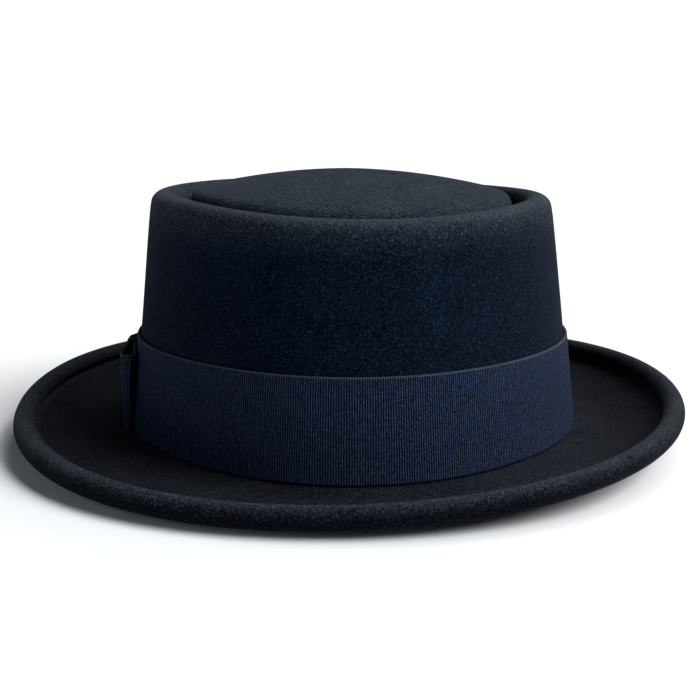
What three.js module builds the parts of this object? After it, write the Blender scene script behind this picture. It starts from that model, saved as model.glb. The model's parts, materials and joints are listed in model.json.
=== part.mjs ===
import * as THREE from "three";

// Porkpie hat of blocked felt. A tapered oval crown ends in a rolled rim, a narrow groove and a
// raised oval tip. The brim's edge is rolled up and over, a ribbon goes round the crown and has a
// flat bow at one side, and a sweatband lines the foot of the crown.
// Millimetres, +Z up. The front is towards -Y and the bow is at -X. The origin lies on the
// table, under the middle of the brim.

// Crown, measured outside the felt. Half widths lie along X from the crown's centre.
const feltThickness = 2.4;
const crownHalfWidth = 86.2; // where the crown meets the brim
const crownTopHalfWidth = 76.4; // at the rim, before its shoulder is rounded
const crownExtraLength = 17; // how far the half length along Y exceeds the half width
const crownPinch = 0.016; // how far the oval draws in between its four ends, as a share
const crownOffset = 1.4; // from the middle of the brim to the middle of the crown, along X
const crownLean = -0.5; // how far the rim leans along X
const rimHeight = 90.5; // top of the rim above the table
const rimWidth = 9.9; // outer wall to the groove's wall
const rimSway = 0.95; // how far the rim tilts and twists
const rimDip = 4.3; // how far the rim sags at its lowest place
const rimDipTurn = THREE.MathUtils.degToRad(282); // where that is, from +X towards +Y
const shoulderRadius = 5.4;
const grooveWidth = 5;
const grooveFloorWidth = 3.6;
const grooveDepth = 11.5;
const grooveFloorRadius = 1.6;
const tipRise = 7.8; // middle of the raised tip above the rim
const tipEdgeDrop = 0.2; // edge of the raised tip below the rim

// Brim
const brimWidth = 41.1; // crown wall to the outermost edge, along X
const brimExtraLength = 14.5; // half length less half width at the edge
const brimPinch = -0.0144; // as crownPinch, at the edge
const brimFlatStart = 0.22; // the brim lies on the table between these shares of its width
const brimFlatEnd = 0.32;
const rollRadius = 4; // outside the rolled edge
const rollAngle = THREE.MathUtils.degToRad(262); // how far the edge is rolled up and over
const edgeBulge = 0.32; // how far the cut edge rounds out, as a share of the felt's thickness
const edgeLift = 6.1; // how far the outer brim rises on average
const breakRise = 1.3; // how much higher the brim joins the crown in front than at the sides
const breakRadius = 1.2; // felt fillet where the brim meets the crown

// Ribbon round the crown
const bandHeight = 34;
const bandThickness = 1;
const bandClearance = 0.3;
const bandLift = 0.8; // lower edge above the brim

// Bow
const bowHalfLength = 33;
const bowStand = 6; // how far the loops flare from the ribbon
const bowHeight = 28.6;
const ribbonThickness = 1;
const knotWidth = 15;
const knotStand = 4.6;
const knotHeight = 29.3;
const bowClearance = 0.3;

// Sweatband
const sweatbandHeight = 36;
const sweatbandThickness = 1.2;
const sweatbandClearance = 0.3;
const sweatbandLift = 1.5; // lower edge above the table

const ringSegments = 56;

// Radii that leave some felt inside each tight fold
const rimInnerRadius = feltThickness + 1.7;
const tipEdgeRadius = feltThickness + 3;

// Waves round the hat: how many times each one repeats in a turn, and its cosine and sine
// parts as shares of the size that it belongs to.
const rimWaves = [
  { turns: 1, cosine: -0.8, sine: 0.1 },
  { turns: 2, cosine: 0, sine: -0.65 },
];
const edgeWaves = [
  { turns: 1, cosine: 0.28, sine: 0.22 },
  { turns: 2, cosine: 0.42, sine: -0.19 },
];

// Loop of the bow in plan, from its inner layer at the knot, over the fold, to its outer layer at
// the knot. "along" is a share of the loop's length from the knot to the fold, "stand" a share of
// bowStand out from the ribbon, at the loop's upper and lower edges.
const loopPath = [
  { alongTop: 0, alongLow: 0, standTop: 0, standLow: 0 },
  { alongTop: 0.4, alongLow: 0.4, standTop: 0, standLow: 0 },
  { alongTop: 0.8, alongLow: 0.82, standTop: 0.03, standLow: 0 },
  { alongTop: 0.98, alongLow: 1, standTop: 0.2, standLow: 0.02 },
  { alongTop: 1.03, alongLow: 1.08, standTop: 0.6, standLow: 0.14 },
  { alongTop: 0.96, alongLow: 1.02, standTop: 0.98, standLow: 0.28 },
  { alongTop: 0.55, alongLow: 0.57, standTop: 0.84, standLow: 0.28 },
  { alongTop: 0, alongLow: 0, standTop: 0.52, standLow: 0.28 },
];
const loopSteps = 18;

// Knot in plan: shares of half its width and of how far it stands out.
const knotOutline = [
  { across: 0, stand: 0 },
  { across: 1, stand: 0 },
  { across: 1, stand: 0.72 },
  { across: 0.82, stand: 0.94 },
  { across: 0.4, stand: 1 },
  { across: -0.4, stand: 1 },
  { across: -0.82, stand: 0.94 },
  { across: -1, stand: 0.72 },
  { across: -1, stand: 0 },
];

// Where rings lie between the corners of the section, as shares of the brim's width from the
// crown and of the tip's radius from its middle.
const brimRings = [0.55, brimFlatEnd, brimFlatStart, 0.1];
const tipRings = [0.8, 0.55, 0.3, 0.06];
const rollSteps = 8;

const clampShare = (value) => Math.min(1, Math.max(0, value));

function smoothShare(value) {
  const share = clampShare(value);
  return share * share * (3 - 2 * share);
}

function waveAt(waves, turn, reach = 1) {
  let sum = 0;
  for (const { turns, cosine, sine } of waves) {
    const size = reach ** turns;
    sum += size * (cosine * Math.cos(turns * turn) + sine * Math.sin(turns * turn));
  }
  return sum;
}

// Rounds the corners of a line with arcs. Each corner gives a radius and how many steps its arc
// has; a corner without a radius stays as it is.
function roundedLine(corners) {
  const line = [];
  corners.forEach(({ r, z, radius = 0, steps = 2 }, i) => {
    const here = new THREE.Vector2(r, z);
    if (!radius || i === 0 || i === corners.length - 1) {
      line.push(here);
      return;
    }
    const before = new THREE.Vector2(corners[i - 1].r, corners[i - 1].z).sub(here).normalize();
    const after = new THREE.Vector2(corners[i + 1].r, corners[i + 1].z).sub(here).normalize();
    const halfCorner = Math.acos(before.dot(after)) / 2;
    const bisector = before.clone().add(after).normalize();
    const centre = here.clone().addScaledVector(bisector, radius / Math.sin(halfCorner));
    const reach = radius / Math.tan(halfCorner);
    const start = here.clone().addScaledVector(before, reach).sub(centre);
    const end = here.clone().addScaledVector(after, reach).sub(centre);
    let sweep = end.angle() - start.angle();
    if (sweep > Math.PI) sweep -= 2 * Math.PI;
    if (sweep < -Math.PI) sweep += 2 * Math.PI;
    for (let step = 0; step <= steps; step++) {
      const spoke = start.clone().rotateAround(new THREE.Vector2(), (sweep * step) / steps);
      line.push(spoke.add(centre));
    }
  });
  return line;
}

// Moves a line to its left by one distance, so that the wall between both has one thickness.
function offsetLine(line, distance) {
  return line.map((point, i) => {
    const before = line[Math.max(0, i - 1)];
    const after = line[Math.min(line.length - 1, i + 1)];
    const into = i === 0 ? after.clone().sub(point) : point.clone().sub(before);
    const out = i === line.length - 1 ? into.clone() : after.clone().sub(point);
    into.normalize();
    out.normalize();
    const along = into.clone().add(out).normalize();
    const left = new THREE.Vector2(-along.y, along.x);
    return point.clone().addScaledVector(left, distance / along.dot(out));
  });
}

// Radius of the crown's wall, in the section along X, at a height above the table.
function wallRadius(height) {
  const share = (height - feltThickness) / (rimHeight - feltThickness);
  return crownHalfWidth + (crownTopHalfWidth - crownHalfWidth) * share;
}

// Height of the brim's upper side at the foot of the crown.
const breakHeight = (turn) => (breakRise * (1 - Math.cos(2 * turn))) / 2;

// A point of the section, at radius r and height z, turned to its place round the oval. The
// oval's extra length fades out across the tip, and the crown's waves fade out down to the ribbon.
function ovalPoint(r, z, turn) {
  const tipRadius = crownTopHalfWidth - rimWidth - grooveWidth;
  const brimShare = clampShare((r - crownHalfWidth) / brimWidth);
  const rising = brimShare > 0 ? 0 : clampShare((z - bandHeight) / (rimHeight - bandHeight));
  const lengthening = Math.sin((Math.PI / 2) * Math.min(1, r / (tipRadius - feltThickness)));
  const extra = crownExtraLength * lengthening + (brimExtraLength - crownExtraLength) * brimShare;
  const pinch = crownPinch + (brimPinch - crownPinch) * brimShare;
  const draw = 1 + pinch * (Math.cos(4 * turn) - 1);
  const x = r * Math.cos(turn) * draw + crownOffset * (1 - brimShare) + crownLean * rising;
  const y = (r + extra) * Math.sin(turn) * draw;
  const reach = r / crownTopHalfWidth;
  const dipShare = reach * Math.max(0, Math.cos(turn - rimDipTurn)) ** 2;
  const rimPart = rising * (rimSway * waveAt(rimWaves, turn, reach) - rimDip * dipShare);
  const outerShare = smoothShare((brimShare - brimFlatEnd) / (1 - brimFlatEnd));
  const edgePart = edgeLift * (1 + waveAt(edgeWaves, turn)) * outerShare;
  const fromFoot = Math.max((z - feltThickness) / bandHeight, brimShare / brimFlatStart);
  const footPart = breakHeight(turn) * smoothShare(1 - fromFoot);
  return new THREE.Vector3(x, y, z + rimPart + edgePart + footPart);
}

// Lofts rings of equal length into one closed body. The first and the last ring are closed by a
// fan, or joined to each other where the body is looped.
function loft(rings, { looped = false } = {}) {
  const count = rings[0].length;
  const positions = [];
  const faces = [];
  for (const point of rings.flat()) {
    positions.push(point.x, point.y, point.z);
  }
  const bands = looped ? rings.length : rings.length - 1;
  for (let i = 0; i < bands; i++) {
    const here = i * count;
    const next = ((i + 1) % rings.length) * count;
    for (let j = 0; j < count; j++) {
      const beside = (j + 1) % count;
      faces.push(here + j, next + j, next + beside);
      faces.push(here + j, next + beside, here + beside);
    }
  }
  if (!looped) {
    for (let j = 1; j < count - 1; j++) {
      const last = (rings.length - 1) * count;
      faces.push(0, j, j + 1);
      faces.push(last, last + j + 1, last + j);
    }
  }
  const geometry = new THREE.BufferGeometry();
  geometry.setAttribute("position", new THREE.Float32BufferAttribute(positions, 3));
  geometry.setIndex(faces);
  geometry.computeVertexNormals();
  return geometry;
}

const turns = Array.from({ length: ringSegments }, (_, j) => (2 * Math.PI * j) / ringSegments);

const ringOf = (r, z) => turns.map((turn) => ovalPoint(r, z, turn));

// Felt: crown and brim in one piece. The upper line goes from the brim's edge to the middle of
// the tip, and the lower line is the same one a felt's thickness inside it.
function feltGeometry() {
  const brimRadius = crownHalfWidth + brimWidth;
  const grooveWall = crownTopHalfWidth - rimWidth;
  const grooveSlope = (grooveWidth - grooveFloorWidth) / 2;
  const grooveFloor = rimHeight - grooveDepth;
  const tipRadius = grooveWall - grooveWidth;
  const tipEdge = rimHeight - tipEdgeDrop;
  const innerRoll = rollRadius - feltThickness;
  const roll = [];
  for (let step = rollSteps; step >= 0; step--) {
    const angle = (rollAngle * step) / rollSteps;
    roll.push({
      r: brimRadius - rollRadius + innerRoll * Math.sin(angle),
      z: rollRadius - innerRoll * Math.cos(angle),
    });
  }
  const brimStations = brimRings.map((share) => ({
    r: crownHalfWidth + brimWidth * share,
    z: feltThickness,
  }));
  const wallStations = [bandHeight + bandLift + feltThickness, (bandHeight + rimHeight) / 2].map(
    (height) => ({ r: wallRadius(height), z: height }),
  );
  const tipStations = tipRings.map((share) => ({
    r: tipRadius * share,
    z: tipEdge + (tipRise + tipEdgeDrop) * (1 - share * share),
  }));
  const upper = roundedLine([
    ...roll,
    ...brimStations,
    { r: crownHalfWidth, z: feltThickness, radius: breakRadius, steps: 2 },
    ...wallStations,
    { r: crownTopHalfWidth, z: rimHeight, radius: shoulderRadius, steps: 3 },
    { r: grooveWall, z: rimHeight, radius: rimInnerRadius, steps: 2 },
    { r: grooveWall - grooveSlope, z: grooveFloor, radius: grooveFloorRadius, steps: 2 },
    { r: tipRadius + grooveSlope, z: grooveFloor, radius: grooveFloorRadius, steps: 2 },
    { r: tipRadius, z: tipEdge, radius: tipEdgeRadius, steps: 3 },
    ...tipStations,
  ]);
  const lower = offsetLine(upper, feltThickness);
  const edgeMiddle = upper[0].clone().add(lower[0]).multiplyScalar(0.5);
  const edgeOut = lower[0].clone().sub(upper[0]).rotateAround(new THREE.Vector2(), Math.PI / 2);
  edgeMiddle.addScaledVector(edgeOut, edgeBulge);
  const section = [...upper.reverse(), edgeMiddle, ...lower];
  return loft(section.map(({ x, y }) => ringOf(x, y)));
}

// A strip of even thickness round the crown, outside or inside the felt's wall.
function stripGeometry({ gap, thickness, height, footAt }) {
  const corners = [
    { out: gap, up: 0 },
    { out: gap, up: 1 },
    { out: gap + thickness, up: 1 },
    { out: gap + thickness, up: 0 },
  ];
  const rings = corners.map(({ out, up }) =>
    turns.map((turn) => {
      const z = footAt(turn) + height * up;
      const point = ovalPoint(wallRadius(z) + out, feltThickness + bandHeight, turn);
      return point.setZ(z);
    }),
  );
  return loft(rings, { looped: true });
}

// A point beside the ribbon, standing out from its outer face, at a distance along the crown
// from the middle of the bow.
function besideRibbon(along, stand, height) {
  const turn = Math.PI + along / (crownHalfWidth + crownExtraLength);
  const r = wallRadius(height) + bandClearance + bandThickness + stand;
  return ovalPoint(r, feltThickness + bandHeight, turn).setZ(height);
}

const bandFoot = (turn) => feltThickness + breakHeight(turn) + bandLift;

// One loop of the bow, towards the front for side 1 and towards the back for side -1.
function loopGeometry(side) {
  const start = knotWidth / 2 + bowClearance;
  const reach = bowHalfLength - start;
  const nearest = bowClearance + ribbonThickness / 2;
  const foot = bandFoot(Math.PI);
  const edgeCurve = (alongName, standName, height) =>
    new THREE.CatmullRomCurve3(
      loopPath.map((row) => {
        const along = side * (start + reach * row[alongName]);
        return besideRibbon(along, nearest + (bowStand - nearest) * row[standName], height);
      }),
      false,
      "centripetal",
    );
  const low = edgeCurve("alongLow", "standLow", foot);
  const top = edgeCurve("alongTop", "standTop", foot + bowHeight);
  const rings = [];
  for (let step = 0; step <= loopSteps; step++) {
    const share = step / loopSteps;
    const corners = [low, top].map((curve) => {
      const point = curve.getPoint(share);
      const along = curve.getTangent(share).setZ(0).normalize();
      const beside = new THREE.Vector3(-along.y, along.x, 0).multiplyScalar(ribbonThickness / 2);
      return [point.clone().add(beside), point.clone().sub(beside)];
    });
    rings.push([corners[0][0], corners[0][1], corners[1][1], corners[1][0]]);
  }
  return loft(rings);
}

// The knot: the ribbon wound round the middle of the bow.
function knotGeometry() {
  const foot = bandFoot(Math.PI);
  const ringAt = (height) =>
    knotOutline.map(({ across, stand }) => {
      const along = (across * knotWidth) / 2;
      return besideRibbon(along, bowClearance + (knotStand - bowClearance) * stand, height);
    });
  return loft([ringAt(foot), ringAt(foot + knotHeight / 2), ringAt(foot + knotHeight)]);
}

function piece(name, geometry, { color, roughness }) {
  const material = new THREE.MeshStandardMaterial({ color, roughness, metalness: 0 });
  const mesh = new THREE.Mesh(geometry, material);
  mesh.name = name;
  return mesh;
}

const feltLook = { color: 0x17191f, roughness: 0.95 };
const ribbonLook = { color: 0x1e2733, roughness: 0.7 };
const sweatbandLook = { color: 0x15120f, roughness: 0.6 };

const hat = new THREE.Group();

hat.add(piece("felt_body", feltGeometry(), feltLook));

const band = stripGeometry({
  gap: bandClearance,
  thickness: bandThickness,
  height: bandHeight,
  footAt: bandFoot,
});
hat.add(piece("ribbon_band", band, ribbonLook));

const bow = new THREE.Group();
bow.add(piece("bow_loop_front", loopGeometry(1), ribbonLook));
bow.add(piece("bow_loop_back", loopGeometry(-1), ribbonLook));
bow.add(piece("bow_knot", knotGeometry(), ribbonLook));
hat.add(bow);

const wallSlope = Math.atan2(crownHalfWidth - crownTopHalfWidth, rimHeight - feltThickness);
const sweatbandReach = feltThickness + sweatbandClearance + sweatbandThickness;
const sweatband = stripGeometry({
  gap: -sweatbandReach / Math.cos(wallSlope),
  thickness: sweatbandThickness,
  height: sweatbandHeight,
  footAt: () => sweatbandLift,
});
hat.add(piece("sweatband", sweatband, sweatbandLook));

export default hat;
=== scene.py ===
import json
import math

import bmesh
import bpy
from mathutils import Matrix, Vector

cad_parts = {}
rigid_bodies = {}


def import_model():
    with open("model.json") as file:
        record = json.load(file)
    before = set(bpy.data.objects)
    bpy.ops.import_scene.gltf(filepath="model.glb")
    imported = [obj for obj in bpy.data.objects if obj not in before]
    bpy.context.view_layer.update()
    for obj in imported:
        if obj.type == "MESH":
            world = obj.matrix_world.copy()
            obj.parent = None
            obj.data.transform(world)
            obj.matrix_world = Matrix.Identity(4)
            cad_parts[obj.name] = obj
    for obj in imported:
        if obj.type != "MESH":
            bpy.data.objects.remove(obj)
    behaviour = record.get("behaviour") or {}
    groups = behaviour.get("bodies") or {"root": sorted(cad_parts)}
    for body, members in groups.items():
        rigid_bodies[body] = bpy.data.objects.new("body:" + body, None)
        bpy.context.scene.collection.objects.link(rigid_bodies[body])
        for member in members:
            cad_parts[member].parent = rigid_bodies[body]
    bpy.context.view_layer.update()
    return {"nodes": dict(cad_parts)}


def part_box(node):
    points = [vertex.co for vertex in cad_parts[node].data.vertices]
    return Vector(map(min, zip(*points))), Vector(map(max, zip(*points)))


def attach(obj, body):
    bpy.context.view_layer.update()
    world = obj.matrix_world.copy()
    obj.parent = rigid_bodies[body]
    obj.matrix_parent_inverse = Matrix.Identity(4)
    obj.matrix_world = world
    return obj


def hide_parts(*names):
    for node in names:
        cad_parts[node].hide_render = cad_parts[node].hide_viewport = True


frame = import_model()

mm = 0.001


# Camera. It stands a little above the brim, close to the hat.

cameraSetup = {
    "place": (0.43 * mm, -450 * mm, 118.2 * mm),
    "pitchDown": 0.2,  # radians below level
    "focalPixels": 1153.6,
    "imagePixels": 700,
    "sensor": 36.0,  # Blender counts this one in millimetres
    "nearest": 10 * mm,
}


def placeCamera(setup):
    turned = (math.pi / 2 - setup["pitchDown"], 0, 0)
    bpy.ops.object.camera_add(location=setup["place"], rotation=turned)
    camera = bpy.context.object
    camera.name = "camera"
    camera.data.sensor_width = setup["sensor"]
    camera.data.lens = setup["sensor"] * setup["focalPixels"] / setup["imagePixels"]
    camera.data.clip_start = setup["nearest"]
    bpy.context.scene.camera = camera


placeCamera(cameraSetup)
print("camera placed")


# Shader wiring. A Wire is one output socket that Python expressions can use.

class Wire:
    def __init__(self, socket):
        self.socket = socket
        self.tree = socket.id_data

    def node(self, kind, settings=None, inputs=None, output=0):
        made = self.tree.nodes.new("ShaderNode" + kind)
        for name, value in (settings or {}).items():
            setattr(made, name, value)
        for name, value in (inputs or {}).items():
            if isinstance(value, Wire):
                self.tree.links.new(value.socket, made.inputs[name])
            else:
                made.inputs[name].default_value = value
        return Wire(made.outputs[output])

    def maths(self, operation, *values):
        return self.node("Math", {"operation": operation}, dict(enumerate(values)))

    def __add__(self, other):
        return self.maths("ADD", self, other)

    def __radd__(self, other):
        return self.maths("ADD", other, self)

    def __sub__(self, other):
        return self.maths("SUBTRACT", self, other)

    def __rsub__(self, other):
        return self.maths("SUBTRACT", other, self)

    def __mul__(self, other):
        return self.maths("MULTIPLY", self, other)

    def __rmul__(self, other):
        return self.maths("MULTIPLY", other, self)

    def __truediv__(self, other):
        return self.maths("DIVIDE", self, other)

    def __rtruediv__(self, other):
        return self.maths("DIVIDE", other, self)

    def step(self, low, high):  # 0 below low, 1 above high, smooth between
        inputs = {"Value": self, "From Min": low, "From Max": high}
        return self.node("MapRange", {"interpolation_type": "SMOOTHSTEP"}, inputs)

    def wave(self, operation):  # SINE or COSINE from 0 to 1, once for each 1 of this wire
        return self.maths(operation, self * (2 * math.pi)) * 0.5 + 0.5

    def mixed(self, first, second):  # from the first colour to the second, by this wire
        inputs = {"Factor": self, 6: first, 7: second}  # 6 and 7 are its two colours
        return self.node("Mix", {"data_type": "RGBA"}, inputs, output=2)

    def noise(self, size, detail, roughness):  # patches about this size across, on a place wire
        inputs = {"Vector": self, "Scale": 1 / size, "Detail": detail, "Roughness": roughness}
        return self.node("TexNoise", {"noise_dimensions": "3D"}, inputs)

    def axis(self, index):  # the x, y or z of a vector, as 0, 1 or 2
        return self.node("SeparateXYZ", None, {0: self}, output=index)

    def marked(self, name):  # a number that the mesh stores at its points
        return self.node("Attribute", {"attribute_name": name}, None, output=2)

    def bump(self, depth):  # a Normal from this height, 1 standing for that depth
        return self.node("Bump", None, {"Height": self, "Distance": depth, "Strength": 1.0})


def startMaterial(name, constants):  # with wires for the place and the UV map
    material = bpy.data.materials.new(name)
    material.use_nodes = True
    shader = material.node_tree.nodes["Principled BSDF"]
    for socketName, value in constants.items():
        shader.inputs[socketName].default_value = value
    coordinates = material.node_tree.nodes.new("ShaderNodeTexCoord")
    return material, shader, Wire(coordinates.outputs["Object"]), Wire(coordinates.outputs["UV"])


def feed(shader, **wires):
    for name, wire in wires.items():
        wire.tree.links.new(wire.socket, shader.inputs[name.replace("_", " ")])


# Felt: wool with a short fuzzy nap, nearly black with a blue cast, painted bluer on the crown's wall
# as a tint of shade. It has a painted highlight towards the rim, over the tip and on the crest of
# the rolled edge, and painted shade on the outer side of the rolled edge.

feltFinish = {
    "brimDark": (0.0006, 0.0010, 0.0024, 1),
    "brimLight": (0.0112, 0.0132, 0.0190, 1),
    # The wall's colours are bluer than the brim's: a painted tint of the blue shade on the crown's
    # wall.
    "wallDark": (0.0001, 0.0009, 0.0040, 1),
    "wallLight": (0.0040, 0.0092, 0.0205, 1),
    # colour of the painted highlight
    "paintedHighlight": (0.0250, 0.0310, 0.0380, 1),
    "fleck": (0.070, 0.078, 0.092, 1),
    "nap": {"size": 0.7 * mm, "detail": 2.0, "roughness": 0.6},
    "grain": {"size": 1.2 * mm, "detail": 3.0, "roughness": 0.65},
    "patches": {"size": 14 * mm, "detail": 2.0, "roughness": 0.5},
    "napContrast": (0.40, 0.64),
    "grainContrast": (0.32, 0.70),
    "fleckContrast": (0.60, 0.74),
    "napShare": 0.7,  # how much nap, grain and patches each add to the mottle
    "grainShare": 0.3,
    "patchShare": 0.5,
    "wallFrom": 30 * mm,  # height at which the brim's colours turn into the wall's
    "wallTo": 42 * mm,
    # painted highlight: it rises with height towards the rim and over the tip, and is added on the
    # crests
    "highlightFrom": 72 * mm,
    "highlightTo": 91 * mm,
    "crestHighlight": 1.1,
    "leastHighlight": 0.15,  # share of the painted highlight that dark spots of the mottle keep
    "outerShade": 0.65,
    "fleckShare": 0.2,  # flecks on plain felt, and how many more under the painted highlight
    "highlightFlecks": 0.6,
    "depth": 0.4 * mm,
    "napHeight": 0.5,  # shares of that depth
    "grainHeight": 0.7,
    "roughness": 0.91,
    "napRoughness": 0.06,
    "specular": 0.03,
    "sheen": 0.035,
    "sheenRoughness": 0.3,
    "sheenTint": (0.80, 0.88, 1.0, 1),
}


def makeFelt(finish):
    material, shader, place, _ = startMaterial("darkFelt", {
        "Specular IOR Level": finish["specular"],
        "Sheen Weight": finish["sheen"],
        "Sheen Roughness": finish["sheenRoughness"],
        "Sheen Tint": finish["sheenTint"],
    })
    nap = place.noise(**finish["nap"])
    grain = place.noise(**finish["grain"])
    patches = place.noise(**finish["patches"])
    mottle = nap.step(*finish["napContrast"]) * finish["napShare"]
    mottle = mottle + grain.step(*finish["grainContrast"]) * finish["grainShare"]
    mottle = mottle + (patches - 0.5) * finish["patchShare"]
    up = place.axis(2)
    # Towards the wall the colours turn bluer, a painted tint of shade.
    wall = up.step(finish["wallFrom"], finish["wallTo"])
    dark = wall.mixed(finish["brimDark"], finish["wallDark"])
    light = wall.mixed(finish["brimLight"], finish["wallLight"])
    # Painted shade on the outer side of the rolled edge: its light colour turns towards the wall's
    # dark one.
    light = (place.marked("outer") * finish["outerShade"]).mixed(light, finish["wallDark"])
    # Painted highlight: lighter towards the rim and over the tip, and on crests that face up.
    paintedHighlight = up.step(finish["highlightFrom"], finish["highlightTo"])
    paintedHighlight = paintedHighlight + place.marked("crest") * finish["crestHighlight"]
    paintedHighlight = paintedHighlight * (finish["leastHighlight"] + (1 - finish["leastHighlight"]) * mottle)
    flecks = finish["fleckShare"] + finish["highlightFlecks"] * paintedHighlight
    flecks = nap.step(*finish["fleckContrast"]) * flecks
    colour = paintedHighlight.mixed(mottle.mixed(dark, light), finish["paintedHighlight"])
    height = nap * finish["napHeight"] + grain * finish["grainHeight"]
    feed(
        shader,
        Base_Color=flecks.mixed(colour, finish["fleck"]),
        Roughness=finish["napRoughness"] * nap + finish["roughness"],
        Normal=height.bump(finish["depth"]),
    )
    return material


# Ribbon: grosgrain, with ribs across its width, painted lighter on the ribs and darker in the
# valleys as highlight and shade, a painted highlight on the selvage above and painted shade along
# the edge below.
# Its UV map runs along the ribbon and up its width, in metres.

ribbonFinish = {
    # rib and valley: painted highlight on the ribs and painted shade in the valleys
    "rib": (0.0400, 0.0640, 0.1380, 1),
    "valley": (0.0010, 0.0026, 0.0090, 1),
    # pale colour of the painted highlight on the selvage along the top edge
    "selvageHighlight": (0.045, 0.052, 0.068, 1),
    "ribPitch": 0.85 * mm,
    "threadPitch": 0.36 * mm,
    "wander": {"size": 4 * mm, "detail": 3.0, "roughness": 0.6},
    "wanderBy": 0.8,  # of a rib's pitch
    "ribContrast": (0.4, 0.95),
    "plainShare": 0.3,  # of a rib's light, with the shares of threads and streaks
    "threadShare": 0.5,
    "streakShare": 0.2,
    "streakSize": 2.6 * mm,
    "speckle": {"size": 0.6 * mm, "detail": 1.0, "roughness": 0.5},
    "speckleContrast": (0.35, 0.65),
    "betweenSpeckles": 0.35,
    "speckleShare": 1.1,
    "selvageWidth": 0.6 * mm,
    "selvageFull": 0.6,  # share of that width over which it is at its palest
    "selvageCover": 0.75,
    "shadeFrom": 0.1 * mm,
    "ribDepth": 0.35 * mm,
    "threadHeight": 0.3,  # share of that depth
    "roughness": 0.8,
    "valleyRoughness": 0.12,
    "specular": 0.07,
    "sheen": 0.005,
    "sheenRoughness": 0.4,
    "sheenTint": (0.6, 0.7, 0.85, 1),
}

# The bow's loops are coloured lighter than the band: a painted highlight for the light they catch.
loopFinish = dict(
    ribbonFinish,
    rib=(0.062, 0.088, 0.160, 1),
    valley=(0.0030, 0.0052, 0.0130, 1),
)

ribbonWidths = {
    "band": 34 * mm,
    "loop": 28.6 * mm,
    "knot": 15 * mm,
}


def makeRibbon(finish, width, name):
    material, shader, place, cloth = startMaterial(name, {
        "Specular IOR Level": finish["specular"],
        "Sheen Weight": finish["sheen"],
        "Sheen Roughness": finish["sheenRoughness"],
        "Sheen Tint": finish["sheenTint"],
    })
    along, up = cloth.axis(0), cloth.axis(1)
    wander = place.noise(**finish["wander"]) * finish["wanderBy"]
    rib = (along / finish["ribPitch"] + wander).wave("COSINE")
    thread = (up / finish["threadPitch"]).wave("SINE")
    speckle = place.noise(**finish["speckle"]).step(*finish["speckleContrast"])
    streakPlace = {"W": along / finish["streakSize"], "Scale": 1.0, "Detail": 2.0}
    streaks = place.node("TexNoise", {"noise_dimensions": "1D"}, streakPlace)
    edge = finish["selvageWidth"]
    # Along the top edge the selvage flattens the ribs and carries a painted highlight.
    selvageHighlight = up.step(width - edge, width - edge * finish["selvageFull"])
    # Painted shade along the bottom edge, with the ribs' painted contrast.
    shade = up.step(finish["shadeFrom"], edge) * rib.step(*finish["ribContrast"])
    woven = finish["plainShare"] + finish["threadShare"] * thread + finish["streakShare"] * streaks
    shade = shade * woven * (finish["betweenSpeckles"] + finish["speckleShare"] * speckle)
    # Painted highlight on the ribs and painted shade in the valleys, over the weave's threads and
    # speckles.
    colour = shade.mixed(finish["valley"], finish["rib"])
    height = rib * (1 - finish["selvageCover"] * selvageHighlight) + finish["threadHeight"] * thread
    feed(
        shader,
        Base_Color=(selvageHighlight * finish["selvageCover"]).mixed(colour, finish["selvageHighlight"]),
        Roughness=finish["roughness"] + finish["valleyRoughness"] * (1 - rib),
        Normal=height.bump(finish["ribDepth"]),
    )
    return material


# Sweatband leather: thin, black, with a fine grain.

sweatbandFinish = {
    "dark": (0.010, 0.009, 0.008, 1),
    "light": (0.024, 0.021, 0.018, 1),
    "grainSize": 1.1 * mm,
    "grainDepth": 0.08 * mm,
    "grainContrast": (0.2, 0.7),
    "grainShare": 0.3,
    "wear": {"size": 18 * mm, "detail": 3.0, "roughness": 0.6},
    "wearContrast": (0.35, 0.7),
    "wearShare": 0.6,
    "roughness": 0.48,
    "wearRoughness": 0.18,
    "specular": 0.4,
}


def makeSweatbandLeather(finish):
    constants = {"Specular IOR Level": finish["specular"]}
    material, shader, place, _ = startMaterial("sweatbandLeather", constants)
    cellPlace = {"Vector": place, "Scale": 1 / finish["grainSize"], "Randomness": 1.0}
    cells = place.node("TexVoronoi", {"feature": "F1"}, cellPlace)
    wear = place.noise(**finish["wear"])
    worn = wear.step(*finish["wearContrast"]) * finish["wearShare"] + finish["grainShare"] * cells
    feed(
        shader,
        Base_Color=worn.mixed(finish["dark"], finish["light"]),
        Roughness=finish["roughness"] + finish["wearRoughness"] * wear,
        Normal=(1 - cells.step(*finish["grainContrast"])).bump(finish["grainDepth"]),
    )
    return material


felt = makeFelt(feltFinish)
bandRibbon = makeRibbon(ribbonFinish, ribbonWidths["band"], "bandRibbon")
loopRibbon = makeRibbon(loopFinish, ribbonWidths["loop"], "loopRibbon")
knotRibbon = makeRibbon(ribbonFinish, ribbonWidths["knot"], "knotRibbon")
sweatbandLeather = makeSweatbandLeather(sweatbandFinish)
print("materials made")


# Modelling helpers

mergeGap = 0.002 * mm


def pick(piece):  # selects this piece alone and makes it the active one
    if bpy.context.object and bpy.context.object.mode != "OBJECT":
        bpy.ops.object.mode_set(mode="OBJECT")
    bpy.ops.object.select_all(action="DESELECT")
    piece.select_set(True)
    bpy.context.view_layer.objects.active = piece


def edit(piece, kind="FACE"):
    pick(piece)
    bpy.ops.object.mode_set(mode="EDIT")
    bpy.ops.mesh.select_mode(type=kind)
    bpy.ops.mesh.select_all(action="DESELECT")
    return bmesh.from_edit_mesh(piece.data)


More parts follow.
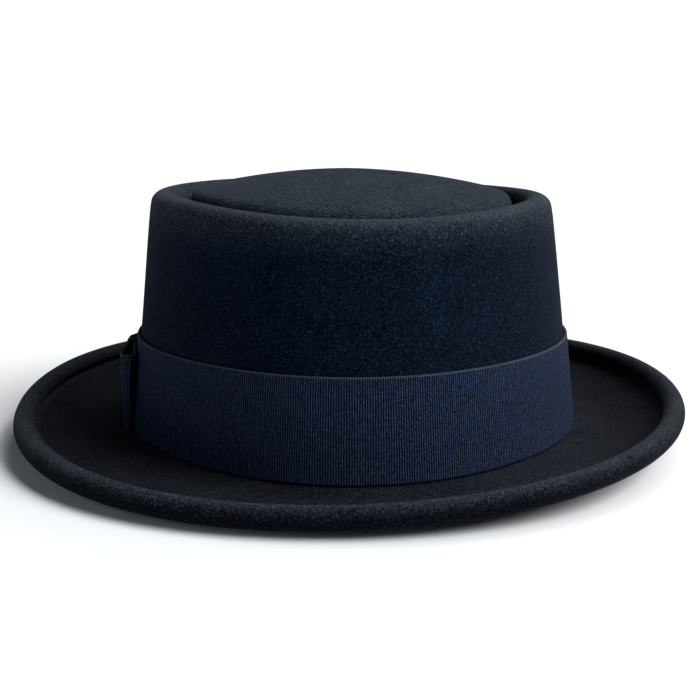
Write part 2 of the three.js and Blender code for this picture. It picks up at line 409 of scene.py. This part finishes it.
def copyNode(node, name):  # a merged copy of a CAD node, in quads
    piece = bpy.data.objects.new(name, frame["nodes"][node].data.copy())
    bpy.context.scene.collection.objects.link(piece)
    edit(piece, "VERT")
    bpy.ops.mesh.select_all(action="SELECT")
    bpy.ops.mesh.remove_doubles(threshold=mergeGap)
    bpy.ops.mesh.tris_convert_to_quads(face_threshold=math.pi, shape_threshold=math.pi)
    bpy.ops.object.mode_set(mode="OBJECT")
    if piece.data.has_custom_normals:
        bpy.ops.mesh.customdata_custom_splitnormals_clear()
    return piece


def applyModifier(piece, kind, **settings):
    pick(piece)
    modifier = piece.modifiers.new(kind.lower(), kind)
    for name, value in settings.items():
        setattr(modifier, name, value)
    bpy.ops.object.modifier_apply(modifier=modifier.name)


def smoothly(piece, levels):
    applyModifier(piece, "SUBSURF", levels=levels, render_levels=levels)
    pick(piece)
    bpy.ops.object.shade_smooth()


def newMap(piece):  # an empty UV map in place of any other
    for layer in list(piece.data.uv_layers):
        piece.data.uv_layers.remove(layer)
    return piece.data.uv_layers.new(name="strip")


def dress(piece, material, slot, *nodes):
    piece.data.materials.clear()
    piece.data.materials.append(material)
    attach(piece, "root")
    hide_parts(*nodes)


# Felt body: crown and brim in one piece.

feltShape = {
    "smoothLevels": 2,
    # These place the painted highlight on the crests and the painted shade on the rolled edge's
    # outer side.
    "rollWidth": 8 * mm,
    "rimFrom": 75 * mm,
    "crestSharpness": 3,
    "outerFrom": 0.5,  # how far up a face looks where the outer side starts
    "outerBlend": 0.6,
}


def markFolds(piece, shape):
    # Two attributes for painted light: crest, for the painted highlight, is 1 on top of the rolled
    # edge and of the rim, where faces look up; outer, for the painted shade, is 1 on the outer side
    # of the rolled edge.
    mesh = piece.data
    crest = mesh.attributes.new("crest", "FLOAT", "POINT")
    outer = mesh.attributes.new("outer", "FLOAT", "POINT")
    for lowest in (0, shape["rimFrom"]):
        vertices = [vertex for vertex in mesh.vertices if vertex.co.z >= lowest]
        turns = [math.degrees(math.atan2(vertex.co.y, vertex.co.x)) for vertex in vertices]
        angles = [round(turn) % 360 for turn in turns]
        outline = [0.0] * 360
        for vertex, angle in zip(vertices, angles):
            outline[angle] = max(outline[angle], vertex.co.xy.length)
        for vertex, angle in zip(vertices, angles):
            nearby = max(outline[angle - 1], outline[angle], outline[(angle + 1) % 360])
            if nearby - vertex.co.xy.length < shape["rollWidth"]:
                up = vertex.normal.z
                crest.data[vertex.index].value = max(0.0, up) ** shape["crestSharpness"]
                if lowest == 0:
                    side = (shape["outerFrom"] - up) / shape["outerBlend"]
                    outer.data[vertex.index].value = min(1.0, max(0.0, side))


def makeFeltBody(shape):
    piece = copyNode("felt_body", "feltBody")
    smoothly(piece, shape["smoothLevels"])
    markFolds(piece, shape)
    dress(piece, felt, "felt", "felt_body")
    return piece


feltBody = makeFeltBody(feltShape)
print("felt body:", len(feltBody.data.polygons), "faces")


# Strips: the outer side of a closed band's solid, made fine and given its thickness.

stripShape = {
    "centre": (1.4 * mm, 0),  # of the crown
    "leastOutward": 0.5,  # faces that look less outwards than this are taken off
    "softTurn": math.radians(40),
}


def keepOuterWall(piece, shape):
    centreX, centreY = shape["centre"]
    wall = edit(piece)
    for face in wall.faces:
        middle = face.calc_center_median()
        outwards = Vector((middle.x - centreX, middle.y - centreY, 0)).normalized()
        face.select = face.normal.dot(outwards) < shape["leastOutward"]
    bmesh.update_edit_mesh(piece.data)
    bpy.ops.mesh.delete(type="FACE")
    bpy.ops.object.mode_set(mode="OBJECT")


def mapStrip(piece, centre, height):  # UV in metres: along the strip from behind the bow, and up
    mesh = piece.data
    middle = sum(vertex.co.z for vertex in mesh.vertices) / len(mesh.vertices)

    def around(place):  # 0 at the bow, where the ends of the strip meet
        return math.atan2(centre[1] - place.y, place.x - centre[0]) + math.pi

    low = [vertex.co for vertex in mesh.vertices if vertex.co.z < middle]
    foot = sorted((around(place), place.xy.copy()) for place in low)
    lengths = [0.0]
    for (_, here), (_, before) in zip(foot[1:], foot):
        lengths.append(lengths[-1] + (here - before).length)
    whole = lengths[-1] + (foot[0][1] - foot[-1][1]).length

    def alongAt(angle):
        return lengths[min(range(len(foot)), key=lambda i: abs(foot[i][0] - angle))]

    layer = newMap(piece)
    for face in mesh.polygons:
        turned = [around(mesh.vertices[i].co) for i in face.vertices]
        wraps = max(turned) - min(turned) > math.pi
        for loop, corner, angle in zip(face.loop_indices, face.vertices, turned):
            along = alongAt(angle) + (whole if wraps and angle < math.pi else 0)
            layer.data[loop].uv = (along, height if mesh.vertices[corner].co.z > middle else 0)
    return whole


def makeStrip(node, name, shape, material, slot):
    piece = copyNode(node, name)
    keepOuterWall(piece, stripShape)
    length = mapStrip(piece, stripShape["centre"], shape["height"])
    smoothly(piece, shape["smoothLevels"])
    applyModifier(piece, "SOLIDIFY", thickness=shape["thickness"], offset=-1.0)
    pick(piece)
    bpy.ops.object.shade_smooth_by_angle(angle=stripShape["softTurn"])
    dress(piece, material, slot, node)
    return piece


# Ribbon band, round the foot of the crown.

bandShape = {
    "height": ribbonWidths["band"],
    "thickness": 0.8 * mm,
    "smoothLevels": 3,
}

ribbonBand = makeStrip("ribbon_band", "ribbonBand", bandShape, bandRibbon, "ribbon")
print("ribbon band:", len(ribbonBand.data.polygons), "faces")


# Bow: two folded loops and the knot over their middle.

bowShape = {
    "height": ribbonWidths["loop"],
    "loopLength": 58 * mm,  # of ribbon in one loop, both layers
    "smoothLevels": 2,
    "crease": 0.8,
    "knotWidth": ribbonWidths["knot"],
    "knotSmoothLevels": 3,
    "knotCrease": 0.5,
    "corner": math.radians(60),  # edges that turn more than this are creased
}


def creaseCorners(piece, corner, amount):
    mesh = edit(piece, "EDGE")
    layers = mesh.edges.layers.float
    crease = layers.get("crease_edge") or layers.new("crease_edge")
    for edge in mesh.edges:
        if len(edge.link_faces) == 2 and edge.calc_face_angle() > corner:
            edge[crease] = amount
    bmesh.update_edit_mesh(piece.data)
    bpy.ops.object.mode_set(mode="OBJECT")


def mapByPlace(piece, along, up):  # UV in metres from two functions of a vertex's place
    mesh = piece.data
    layer = newMap(piece)
    for loop in mesh.loops:
        place = mesh.vertices[loop.vertex_index].co
        layer.data[loop.index].uv = (along(place), up(place))


def makeLoop(node, name, shape):
    piece = copyNode(node, name)
    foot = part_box(node)[0].z
    creaseCorners(piece, shape["corner"], shape["crease"])
    mapByPlace(piece, lambda place: abs(place.y) + place.x, lambda place: place.z - foot)
    smoothly(piece, shape["smoothLevels"])
    dress(piece, loopRibbon, "ribbon", node)


def makeKnot(shape):
    piece = copyNode("bow_knot", "bowKnot")
    low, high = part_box("bow_knot")
    start = (low.y + high.y) / 2 - shape["knotWidth"] / 2
    creaseCorners(piece, shape["corner"], shape["knotCrease"])
    mapByPlace(piece, lambda place: place.z, lambda place: place.y - start)
    smoothly(piece, shape["knotSmoothLevels"])
    dress(piece, knotRibbon, "ribbon", "bow_knot")


makeLoop("bow_loop_front", "bowLoopFront", bowShape)
makeLoop("bow_loop_back", "bowLoopBack", bowShape)
makeKnot(bowShape)
print("bow made")


# Sweatband: a leather strip inside the foot of the crown.

sweatbandShape = {
    "height": 36 * mm,
    "thickness": 1.1 * mm,
    "smoothLevels": 2,
}

makeStrip("sweatband", "sweatbandStrip", sweatbandShape, sweatbandLeather, "sweatband")
print("sweatband made")


# Floor and light: a wide pale floor under a white sky, two large soft lamps high on the right and a
# weak one low on the left.

floorSetup = {
    "width": 40.0,
    "colour": (0.70, 0.70, 0.70, 1),
    "roughness": 0.9,
    "specular": 0.1,
}


def makeFloor(setup):
    bpy.ops.object.select_all(action="DESELECT")
    bpy.ops.mesh.primitive_plane_add(size=setup["width"], location=(0, 0, 0))
    floor = bpy.context.object
    floor.name = "floor"
    material, _, _, _ = startMaterial("palePaper", {
        "Base Color": setup["colour"],
        "Roughness": setup["roughness"],
        "Specular IOR Level": setup["specular"],
    })
    floor.data.materials.append(material)


lampSetup = [
    {
        "name": "keyLamp", "from": (1.0, -0.3, 0.85), "softness": 40, "power": 4.6,
        "colour": (0.96, 0.98, 1.0),
    },
    {
        "name": "topLamp", "from": (0.7, 0.6, 1.0), "softness": 60, "power": 2.6,
        "colour": (1.0, 1.0, 1.0),
    },
    {
        "name": "fillLamp", "from": (-0.9, -0.8, 0.3), "softness": 60, "power": 0.9,
        "colour": (0.70, 0.87, 1.0),
    },
]


def makeLamps(lamps):
    for lamp in lamps:
        turned = Vector(lamp["from"]).to_track_quat("Z", "Y").to_euler()
        bpy.ops.object.light_add(type="SUN", location=lamp["from"], rotation=turned)
        made = bpy.context.object
        made.name = lamp["name"]
        made.data.angle = math.radians(lamp["softness"])
        made.data.energy = lamp["power"]
        made.data.color = lamp["colour"]


skySetup = {
    "seen": 1.05,  # how bright the sky is to the camera
    "lighting": 0.05,  # and how bright it is to the hat
}


def makeSky(setup):
    world = bpy.data.worlds.new("studio")
    bpy.context.scene.world = world
    world.use_nodes = True
    nodes, links = world.node_tree.nodes, world.node_tree.links
    rays = nodes.new("ShaderNodeLightPath")
    extra = setup["seen"] - setup["lighting"]
    brightness = Wire(rays.outputs["Is Camera Ray"]) * extra + setup["lighting"]
    nodes["Background"].inputs["Color"].default_value = (1, 1, 1, 1)
    links.new(brightness.socket, nodes["Background"].inputs["Strength"])


makeFloor(floorSetup)
makeLamps(lampSetup)
makeSky(skySetup)
bpy.context.scene.view_settings.view_transform = "Standard"
print("floor and lamps made")
